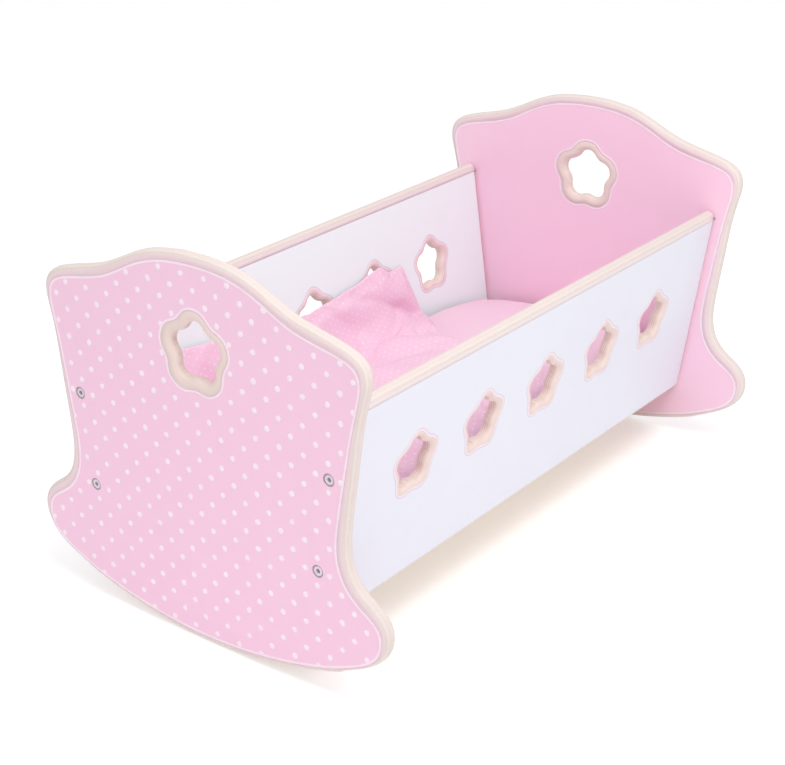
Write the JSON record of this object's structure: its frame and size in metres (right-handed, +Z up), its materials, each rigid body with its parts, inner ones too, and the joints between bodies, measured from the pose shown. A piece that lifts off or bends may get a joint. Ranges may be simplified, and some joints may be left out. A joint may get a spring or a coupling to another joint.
{
  "type": "doll rocking cradle",
  "caption": "Toy rocking cradle of plywood panels with curved rocker ends, canted flower-pierced sides, base board, mattress and quilt.",
  "frame": {"origin": "on the floor, midway between the two rockers, at the lowest point of the rocker curve", "axes": "+Z up, +Y along the cradle from the foot end to the head end, +X to the right seen from the foot end"},
  "size_m": [0.2986, 0.48, 0.2696],
  "materials": {
    "pink_painted_ply": "satin pink paint with printed dots on the outer face, bare ply edges",
    "white_painted_ply": "satin white paint, bare ply edges",
    "bare_ply": "bare sanded plywood",
    "zinc_screw": "zinc plated",
    "pink_fabric": "plain woven cotton",
    "dotted_fabric": "cotton with a fine white dot print",
    "wadding": "polyester wadding"
  },
  "bodies": {
    "frame": {"foot_end_panel": "pink_painted_ply", "head_end_panel": "pink_painted_ply", "left_side_panel": "white_painted_ply", "right_side_panel": "white_painted_ply", "base_board": "bare_ply", "foot_end_screws": "zinc_screw", "head_end_screws": "zinc_screw"},
    "mattress": {"mattress_cover": "pink_fabric", "mattress_filling": "wadding"},
    "quilt": {"quilt_cover": "dotted_fabric", "quilt_wadding": "wadding"}
  },
  "joints": [
    {"name": "mattress_lift", "type": "slide", "parent": "frame", "child": "mattress", "axis": [0, 0, 1], "range_m": [0, 0.24]},
    {"name": "quilt_lift", "type": "slide", "parent": "mattress", "child": "quilt", "axis": [0, 0, 1], "range_m": [0, 0.2]}
  ]
}
